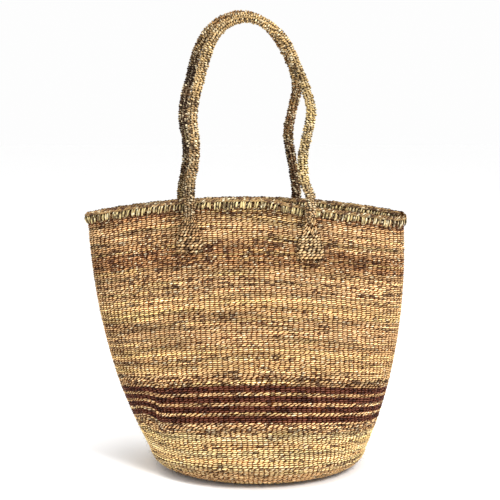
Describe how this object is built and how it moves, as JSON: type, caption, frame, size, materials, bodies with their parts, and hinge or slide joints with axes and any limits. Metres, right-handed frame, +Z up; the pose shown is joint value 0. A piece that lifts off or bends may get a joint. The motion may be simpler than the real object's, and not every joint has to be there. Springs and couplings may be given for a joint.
{
  "type": "woven market basket",
  "caption": "Twined sisal market basket: round bottom, tall wall with dyed stripes, long oval mouth with a whipped rim, and two wrapped-cord loop handles that swing.",
  "frame": {"origin": "centre of the flat bottom that the basket stands on", "axes": "+Z up through the mouth, +X along the long way of the mouth, -Y towards the front handle"},
  "size_m": [0.3863, 0.2668, 0.548],
  "materials": {
    "maroon_sisal": "dyed twined sisal, matt",
    "pale_sisal": "undyed pale twined sisal, matt",
    "golden_sisal": "golden twined sisal with a faint sheen",
    "ochre_sisal": "ochre twined sisal, matt",
    "olive_sisal": "greyish olive twined sisal, matt",
    "raw_sisal": "raw sisal fibre, matt",
    "golden_cord": "wrapped sisal cord, golden, faint sheen",
    "brown_cord": "wrapped sisal cord, brown, matt"
  },
  "bodies": {
    "basket": {"base_centre": "golden_sisal", "base_disc": "golden_sisal", "base_corner": "golden_sisal", "base_ridge_course": "ochre_sisal", "lower_wall": "golden_sisal", "accent_course_lower": "pale_sisal", "dyed_stripe_1": "maroon_sisal", "dyed_stripe_2": "maroon_sisal", "dyed_stripe_3": "maroon_sisal", "dyed_stripe_4": "maroon_sisal", "plain_stripe_1": "pale_sisal", "plain_stripe_2": "pale_sisal", "plain_stripe_3": "pale_sisal", "accent_course_upper": "pale_sisal", "ochre_band": "ochre_sisal", "olive_band": "olive_sisal", "golden_band": "golden_sisal", "brown_band": "ochre_sisal", "shoulder_band": "olive_sisal", "warp_stakes": "raw_sisal", "rim_core": "raw_sisal", "rim_binding": "pale_sisal", "front_left_collar": "golden_cord", "front_left_tails": "golden_cord", "front_left_lashing": "golden_cord", "front_right_collar": "golden_cord", "front_right_tails": "golden_cord", "front_right_lashing": "golden_cord", "back_left_collar": "brown_cord", "back_left_tails": "brown_cord", "back_left_lashing": "brown_cord", "back_right_collar": "brown_cord", "back_right_tails": "brown_cord", "back_right_lashing": "brown_cord"},
    "front_handle": {"front_handle_core": "raw_sisal", "front_handle_wrap": "golden_cord", "front_handle_heels": "golden_cord"},
    "back_handle": {"back_handle_core": "raw_sisal", "back_handle_wrap": "brown_cord", "back_handle_heels": "brown_cord"}
  },
  "joints": [
    {"name": "front_handle_swing", "type": "hinge", "parent": "basket", "child": "front_handle", "pos_m": [-0.0095, -0.053, 0.322], "axis": [1, 0, 0], "range_deg": [0, 120]},
    {"name": "back_handle_swing", "type": "hinge", "parent": "basket", "child": "back_handle", "pos_m": [-0.023, 0.053, 0.322], "axis": [-1, 0, 0], "range_deg": [0, 120]}
  ]
}
